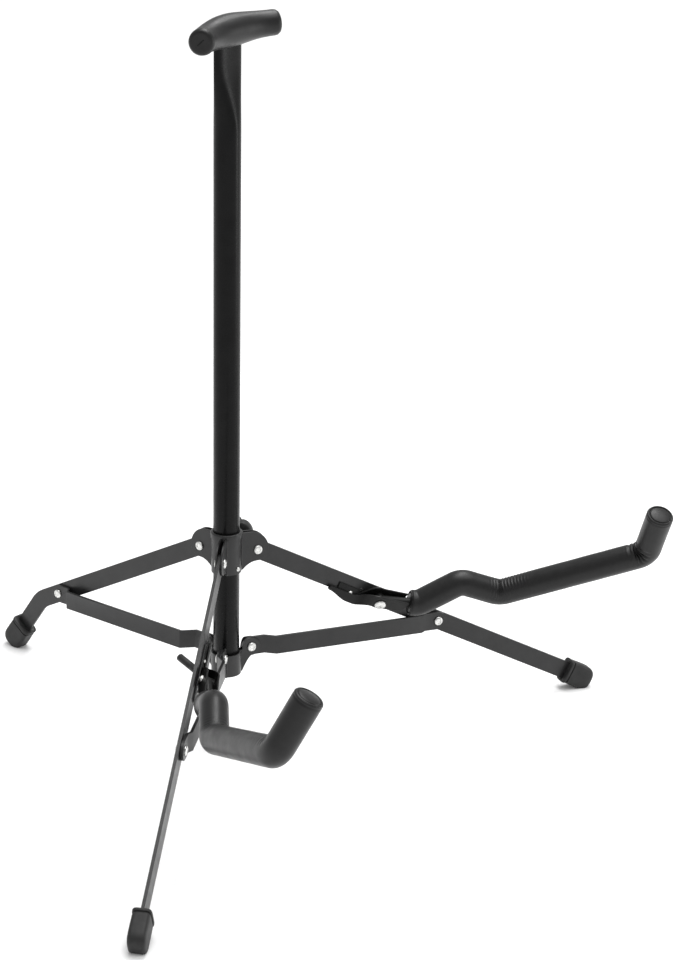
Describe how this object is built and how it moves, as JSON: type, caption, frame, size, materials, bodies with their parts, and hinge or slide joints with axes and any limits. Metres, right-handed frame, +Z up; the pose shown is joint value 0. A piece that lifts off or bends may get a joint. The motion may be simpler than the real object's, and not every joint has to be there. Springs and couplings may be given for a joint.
{
  "type": "folding guitar stand",
  "caption": "Folding tubular floor stand with a padded neck rest and two padded swing-up cradle arms, on flat bar legs that fold along the mast.",
  "frame": {"origin": "on the floor, under the middle of the open stand's bounding box", "axes": "+Z up, -Y towards the front where the guitar rests, +X to the right leg; the mast leans 2.4 degrees back towards +Y"},
  "size_m": [0.69, 0.6086, 0.6855],
  "materials": {
    "satin_black": "satin black paint",
    "stamped_black": "satin black powder coat",
    "foam_black": "matte closed-cell foam",
    "rubber_black": "matte rubber",
    "plastic_black": "matte moulded plastic",
    "bright_nickel": "bright nickel plate"
  },
  "bodies": {
    "mast": {"mast_tube": "satin_black", "mast_plug": "plastic_black", "neck_bar": "satin_black", "neck_foam": "foam_black", "hub_plate_front": "stamped_black", "hub_plate_right": "stamped_black", "hub_plate_left": "stamped_black", "hub_rivet_rear": "bright_nickel", "hub_rivet_right": "bright_nickel", "hub_rivet_left": "bright_nickel"},
    "collar": {"collar_plate_front": "stamped_black", "collar_plate_right": "stamped_black", "collar_plate_left": "stamped_black", "collar_rivet_rear_a": "bright_nickel", "collar_rivet_rear_b": "bright_nickel", "collar_rivet_right_a": "bright_nickel", "collar_rivet_right_b": "bright_nickel", "collar_rivet_left_a": "bright_nickel", "collar_rivet_left_b": "bright_nickel", "collar_guide_rivet": "bright_nickel", "collar_nut": "bright_nickel"},
    "knob": {"clamp_knob": "plastic_black"},
    "strut_rear_body": {"strut_rear": "stamped_black", "knee_rivet_rear": "bright_nickel"},
    "strut_right_body": {"strut_right": "stamped_black", "knee_rivet_right": "bright_nickel"},
    "strut_left_body": {"strut_left": "stamped_black", "knee_rivet_left": "bright_nickel"},
    "leg_rear_body": {"leg_rear": "stamped_black", "foot_rear": "rubber_black"},
    "leg_right_body": {"leg_right": "stamped_black", "foot_right": "rubber_black", "bracket_right": "satin_black", "bracket_rivet_right_upper": "bright_nickel", "bracket_rivet_right_lower": "bright_nickel", "arm_screw_right": "bright_nickel", "peg_right": "rubber_black"},
    "leg_left_body": {"leg_left": "stamped_black", "foot_left": "rubber_black", "bracket_left": "satin_black", "bracket_rivet_left_upper": "bright_nickel", "bracket_rivet_left_lower": "bright_nickel", "arm_screw_left": "bright_nickel", "peg_left": "rubber_black"},
    "arm_right": {"arm_rod_right": "satin_black", "arm_foam_right": "foam_black"},
    "arm_left": {"arm_rod_left": "satin_black", "arm_foam_left": "foam_black"}
  },
  "joints": [
    {"name": "collar_slide", "type": "slide", "parent": "mast", "child": "collar", "axis": [0, 0.0419, 0.9991], "range_m": [0, 0.308]},
    {"name": "knob_turn", "type": "hinge", "parent": "collar", "child": "knob", "pos_m": [0, 0.01333, 0.19233], "axis": [0.866, 0.4996, -0.0209], "range_deg": [0, 360]},
    {"name": "strut_rear_hinge", "type": "hinge", "parent": "mast", "child": "strut_rear_body", "pos_m": [0, 0.03353, 0.08689], "axis": [1, 0, 0], "range_deg": [0, 82]},
    {"name": "strut_right_hinge", "type": "hinge", "parent": "mast", "child": "strut_right_body", "pos_m": [0.0213, -0.00334, 0.08844], "axis": [-0.5, -0.8653, 0.0363], "range_deg": [0, 82]},
    {"name": "strut_left_hinge", "type": "hinge", "parent": "mast", "child": "strut_left_body", "pos_m": [-0.0213, -0.00334, 0.08844], "axis": [-0.5, 0.8653, -0.0363], "range_deg": [0, 82]},
    {"name": "leg_rear_hinge", "type": "hinge", "parent": "strut_rear_body", "child": "leg_rear_body", "pos_m": [0, 0.22906, 0.0787], "axis": [-1, 0, 0], "range_deg": [0, 138.85]},
    {"name": "leg_right_hinge", "type": "hinge", "parent": "strut_right_body", "child": "leg_right_body", "pos_m": [0.19079, -0.1011, 0.09254], "axis": [0.5, 0.8653, -0.0363], "range_deg": [0, 138.85]},
    {"name": "leg_left_hinge", "type": "hinge", "parent": "strut_left_body", "child": "leg_left_body", "pos_m": [-0.19079, -0.1011, 0.09254], "axis": [0.5, -0.8653, 0.0363], "range_deg": [0, 138.85]},
    {"name": "arm_right_swing", "type": "hinge", "parent": "leg_right_body", "child": "arm_right", "pos_m": [0.1271, -0.07641, 0.12619], "axis": [-0.6376, -0.6094, -0.4712], "range_deg": [0, 68]},
    {"name": "arm_left_swing", "type": "hinge", "parent": "leg_left_body", "child": "arm_left", "pos_m": [-0.1271, -0.07641, 0.12619], "axis": [-0.6376, 0.6094, 0.4712], "range_deg": [0, 68]}
  ],
  "couplings": [
    {"joint": "strut_rear_hinge", "follows": "collar_slide", "rad_per_m": 4.6457},
    {"joint": "strut_right_hinge", "follows": "collar_slide", "rad_per_m": 4.6457},
    {"joint": "strut_left_hinge", "follows": "collar_slide", "rad_per_m": 4.6457},
    {"joint": "leg_rear_hinge", "follows": "collar_slide", "rad_per_m": 7.8663},
    {"joint": "leg_right_hinge", "follows": "collar_slide", "rad_per_m": 7.8663},
    {"joint": "leg_left_hinge", "follows": "collar_slide", "rad_per_m": 7.8663}
  ]
}
